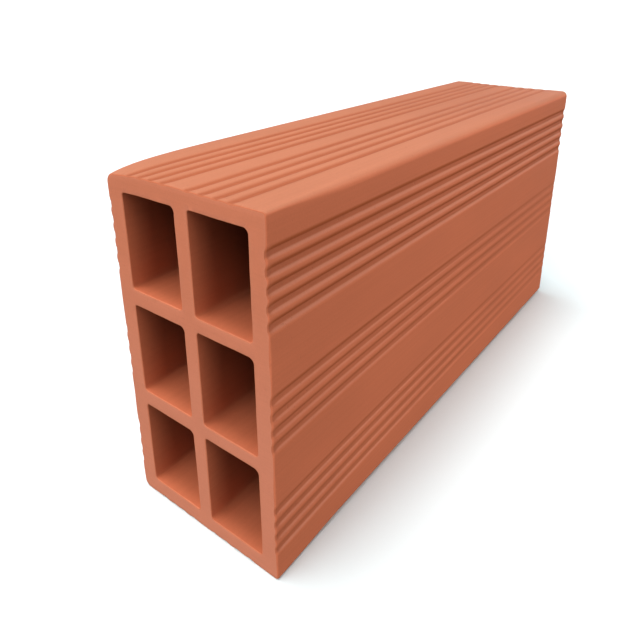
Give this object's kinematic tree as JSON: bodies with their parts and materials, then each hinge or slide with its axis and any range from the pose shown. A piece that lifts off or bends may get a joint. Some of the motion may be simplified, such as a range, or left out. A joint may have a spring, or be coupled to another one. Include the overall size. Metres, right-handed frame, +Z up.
{
  "type": "hollow clay brick",
  "caption": "Fired clay partition brick with open cells running end to end and grooved faces that key mortar and plaster, laid on edge.",
  "frame": {"origin": "middle of the lower bed face, on the plane that the brick rests on", "axes": "+X along the length and the cells, +Y across the thickness from the front face to the back face, +Z up through the height"},
  "size_m": [0.3, 0.08, 0.15],
  "materials": {
    "fired_clay": "matte, unglazed, as fired"
  },
  "bodies": {
    "root": {"brick": "fired_clay"}
  },
  "joints": []
}
